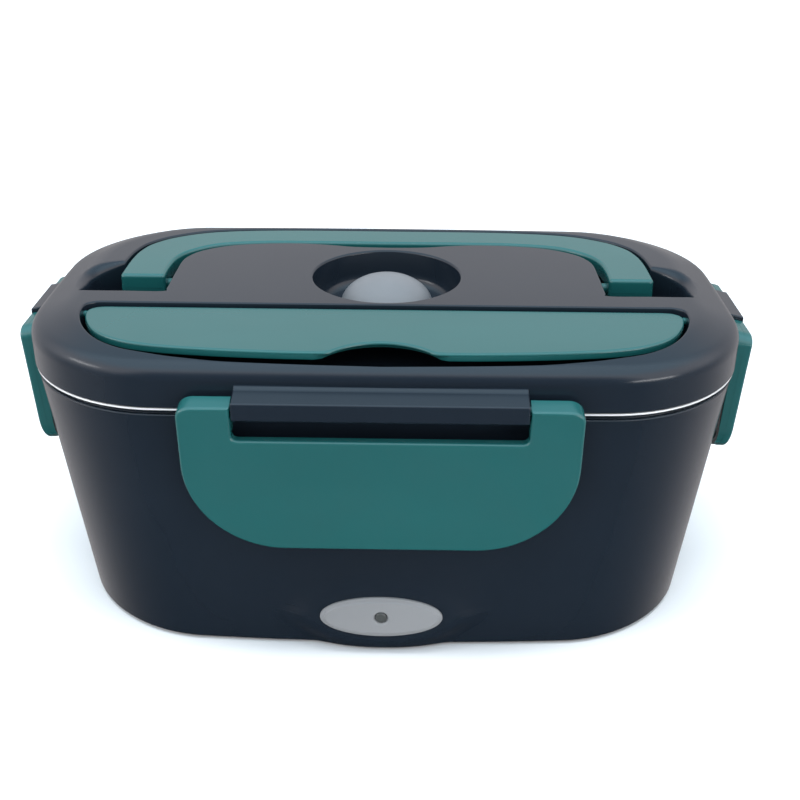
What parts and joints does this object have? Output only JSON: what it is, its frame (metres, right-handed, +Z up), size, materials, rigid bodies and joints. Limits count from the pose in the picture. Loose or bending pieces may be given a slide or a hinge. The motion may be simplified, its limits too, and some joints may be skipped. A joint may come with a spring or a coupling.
{
  "type": "electric lunch box",
  "caption": "Heated lunch box: tapered body with a steel food container, clip-on lid with fold-down latches, folding carry handle, cutlery compartment and steam vent.",
  "frame": {"origin": "on the table under the middle of the box, at the bottom of its bounding box", "axes": "+Z up, -Y the front with the indicator, +X to the right seen from the front"},
  "size_m": [0.2386, 0.1434, 0.1066],
  "materials": {
    "navy_plastic": "satin",
    "teal_plastic": "satin",
    "black_rubber": "matte",
    "screw_steel": "satin",
    "tray_aluminium": "satin",
    "heater_case": "matte",
    "cutout_plastic": "matte",
    "inlet_plastic": "matte",
    "pin_metal": "polished",
    "wire_brown": "satin",
    "wire_red": "satin",
    "wire_blue": "satin",
    "wire_white": "satin",
    "board_green": "satin",
    "led_red": "polished",
    "lens_grey": "polished",
    "grey_plastic": "satin",
    "container_steel": "polished",
    "panel_plastic": "satin",
    "silicone": "satin",
    "plug_silicone": "satin"
  },
  "bodies": {
    "body": {"body_shell": "navy_plastic", "base_plate": "navy_plastic", "rubber_feet": "black_rubber", "base_screws": "screw_steel", "heating_tray": "tray_aluminium", "tray_screws": "screw_steel", "heater_element": "heater_case", "heater_strap": "screw_steel", "strap_screws": "screw_steel", "thermal_cutout": "cutout_plastic", "power_inlet": "inlet_plastic", "inlet_pins": "pin_metal", "wire_live": "wire_brown", "wire_link": "wire_red", "wire_neutral": "wire_blue", "wire_indicator": "wire_white", "indicator_board": "board_green", "indicator_led": "led_red", "indicator_lens": "lens_grey", "indicator_plate": "grey_plastic"},
    "container": {"steel_container": "container_steel"},
    "lid": {"lid_shell": "navy_plastic", "lid_inner_panel": "panel_plastic", "panel_screws": "screw_steel", "lid_seal": "silicone"},
    "handle": {"carry_handle": "teal_plastic"},
    "cover": {"compartment_cover": "teal_plastic"},
    "plug": {"vent_plug": "plug_silicone"},
    "latch_front": {"latch_front": "teal_plastic"},
    "latch_back": {"latch_back": "teal_plastic"},
    "latch_left": {"latch_left": "teal_plastic"},
    "latch_right": {"latch_right": "teal_plastic"}
  },
  "joints": [
    {"name": "container_lift", "type": "slide", "parent": "body", "child": "container", "axis": [0, 0, 1], "range_m": [0, 0.11]},
    {"name": "lid_lift", "type": "slide", "parent": "container", "child": "lid", "axis": [0, 0, 1], "range_m": [0, 0.06]},
    {"name": "latch_front_hinge", "type": "hinge", "parent": "lid", "child": "latch_front", "pos_m": [0, -0.0682, 0.0924], "axis": [-1, 0, 0], "range_deg": [0, 110]},
    {"name": "latch_back_hinge", "type": "hinge", "parent": "lid", "child": "latch_back", "pos_m": [0, 0.0682, 0.0924], "axis": [1, 0, 0], "range_deg": [0, 110]},
    {"name": "latch_left_hinge", "type": "hinge", "parent": "lid", "child": "latch_left", "pos_m": [-0.1158, 0.0087, 0.0924], "axis": [0, 1, 0], "range_deg": [0, 110]},
    {"name": "latch_right_hinge", "type": "hinge", "parent": "lid", "child": "latch_right", "pos_m": [0.1158, 0.0087, 0.0924], "axis": [0, -1, 0], "range_deg": [0, 110]},
    {"name": "handle_hinge", "type": "hinge", "parent": "lid", "child": "handle", "pos_m": [0, 0.005, 0.1016], "axis": [1, 0, 0], "range_deg": [0, 90]},
    {"name": "cover_hinge", "type": "hinge", "parent": "lid", "child": "cover", "pos_m": [0, -0.0286, 0.1038], "axis": [-1, 0, 0], "range_deg": [0, 100]},
    {"name": "plug_lift", "type": "slide", "parent": "lid", "child": "plug", "axis": [0, 0, 1], "range_m": [0, 0.012]}
  ]
}
